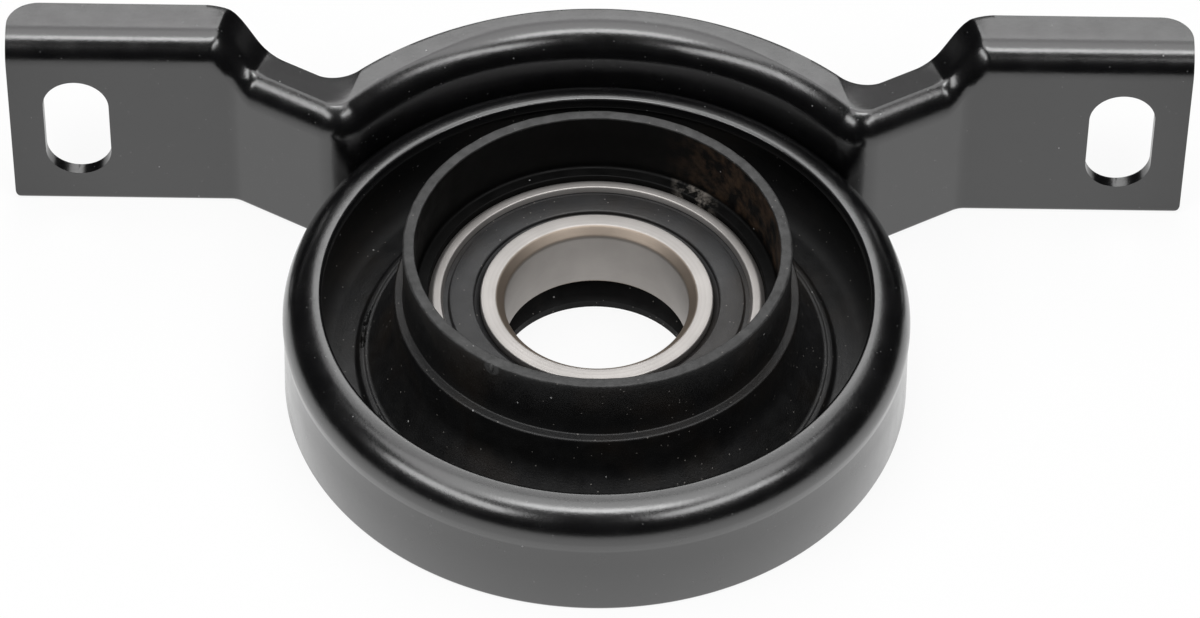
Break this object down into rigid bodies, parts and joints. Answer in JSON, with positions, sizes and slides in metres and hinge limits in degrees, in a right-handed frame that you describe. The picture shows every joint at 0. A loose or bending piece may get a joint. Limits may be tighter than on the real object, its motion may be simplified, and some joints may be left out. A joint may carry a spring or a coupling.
{
  "type": "driveshaft centre bearing",
  "caption": "Driveshaft centre support: a sealed ball bearing in a rubber cushion and drawn ring, carried by a stamped strap with slotted ears.",
  "frame": {"origin": "middle of the bearing, on the shaft's axis", "axes": "+Z along the shaft towards the open collar, +X along the strap to the right ear, +Y from the shaft towards the strap's arch"},
  "size_m": [0.1976, 0.1099, 0.0358],
  "materials": {
    "strap_paint": "satin",
    "ring_paint": "satin",
    "cushion_rubber": "matte",
    "seal_rubber": "satin",
    "sleeve_steel": "satin",
    "race_steel": "ground",
    "cage_steel": "pressed",
    "ball_steel": "polished"
  },
  "bodies": {
    "housing": {"mounting_strap": "strap_paint", "ring_housing": "ring_paint", "rubber_cushion": "cushion_rubber", "inner_sleeve": "sleeve_steel", "outer_race": "race_steel", "front_seal": "seal_rubber", "rear_seal": "seal_rubber", "rear_dust_lip": "cushion_rubber", "dust_lip_case": "sleeve_steel"},
    "inner_ring": {"inner_race": "race_steel"},
    "cage": {"cage_front_half": "cage_steel", "cage_rear_half": "cage_steel", "cage_rivets": "cage_steel"},
    "ball_01": {"ball_01": "ball_steel"},
    "ball_02": {"ball_02": "ball_steel"},
    "ball_03": {"ball_03": "ball_steel"},
    "ball_04": {"ball_04": "ball_steel"},
    "ball_05": {"ball_05": "ball_steel"},
    "ball_06": {"ball_06": "ball_steel"},
    "ball_07": {"ball_07": "ball_steel"},
    "ball_08": {"ball_08": "ball_steel"},
    "ball_09": {"ball_09": "ball_steel"},
    "ball_10": {"ball_10": "ball_steel"},
    "ball_11": {"ball_11": "ball_steel"}
  },
  "joints": [
    {"name": "inner_race_spin", "type": "hinge", "parent": "housing", "child": "inner_ring", "pos_m": [0, 0, 0], "axis": [0, 0, 1], "continuous": true},
    {"name": "cage_spin", "type": "hinge", "parent": "housing", "child": "cage", "pos_m": [0, 0, 0], "axis": [0, 0, 1], "continuous": true},
    {"name": "ball_01_spin", "type": "hinge", "parent": "cage", "child": "ball_01", "pos_m": [0.02125, 0, 0], "axis": [0, 0, 1], "continuous": true},
    {"name": "ball_02_spin", "type": "hinge", "parent": "cage", "child": "ball_02", "pos_m": [0.01788, 0.01149, 0], "axis": [0, 0, 1], "continuous": true},
    {"name": "ball_03_spin", "type": "hinge", "parent": "cage", "child": "ball_03", "pos_m": [0.00883, 0.01933, 0], "axis": [0, 0, 1], "continuous": true},
    {"name": "ball_04_spin", "type": "hinge", "parent": "cage", "child": "ball_04", "pos_m": [-0.00302, 0.02103, 0], "axis": [0, 0, 1], "continuous": true},
    {"name": "ball_05_spin", "type": "hinge", "parent": "cage", "child": "ball_05", "pos_m": [-0.01392, 0.01606, 0], "axis": [0, 0, 1], "continuous": true},
    {"name": "ball_06_spin", "type": "hinge", "parent": "cage", "child": "ball_06", "pos_m": [-0.02039, 0.00599, 0], "axis": [0, 0, 1], "continuous": true},
    {"name": "ball_07_spin", "type": "hinge", "parent": "cage", "child": "ball_07", "pos_m": [-0.02039, -0.00599, 0], "axis": [0, 0, 1], "continuous": true},
    {"name": "ball_08_spin", "type": "hinge", "parent": "cage", "child": "ball_08", "pos_m": [-0.01392, -0.01606, 0], "axis": [0, 0, 1], "continuous": true},
    {"name": "ball_09_spin", "type": "hinge", "parent": "cage", "child": "ball_09", "pos_m": [-0.00302, -0.02103, 0], "axis": [0, 0, 1], "continuous": true},
    {"name": "ball_10_spin", "type": "hinge", "parent": "cage", "child": "ball_10", "pos_m": [0.00883, -0.01933, 0], "axis": [0, 0, 1], "continuous": true},
    {"name": "ball_11_spin", "type": "hinge", "parent": "cage", "child": "ball_11", "pos_m": [0.01788, -0.01149, 0], "axis": [0, 0, 1], "continuous": true}
  ],
  "couplings": [
    {"joint": "cage_spin", "follows": "inner_race_spin", "ratio": 0.41595},
    {"joint": "ball_01_spin", "follows": "inner_race_spin", "ratio": -2.8905},
    {"joint": "ball_02_spin", "follows": "inner_race_spin", "ratio": -2.8905},
    {"joint": "ball_03_spin", "follows": "inner_race_spin", "ratio": -2.8905},
    {"joint": "ball_04_spin", "follows": "inner_race_spin", "ratio": -2.8905},
    {"joint": "ball_05_spin", "follows": "inner_race_spin", "ratio": -2.8905},
    {"joint": "ball_06_spin", "follows": "inner_race_spin", "ratio": -2.8905},
    {"joint": "ball_07_spin", "follows": "inner_race_spin", "ratio": -2.8905},
    {"joint": "ball_08_spin", "follows": "inner_race_spin", "ratio": -2.8905},
    {"joint": "ball_09_spin", "follows": "inner_race_spin", "ratio": -2.8905},
    {"joint": "ball_10_spin", "follows": "inner_race_spin", "ratio": -2.8905},
    {"joint": "ball_11_spin", "follows": "inner_race_spin", "ratio": -2.8905}
  ]
}
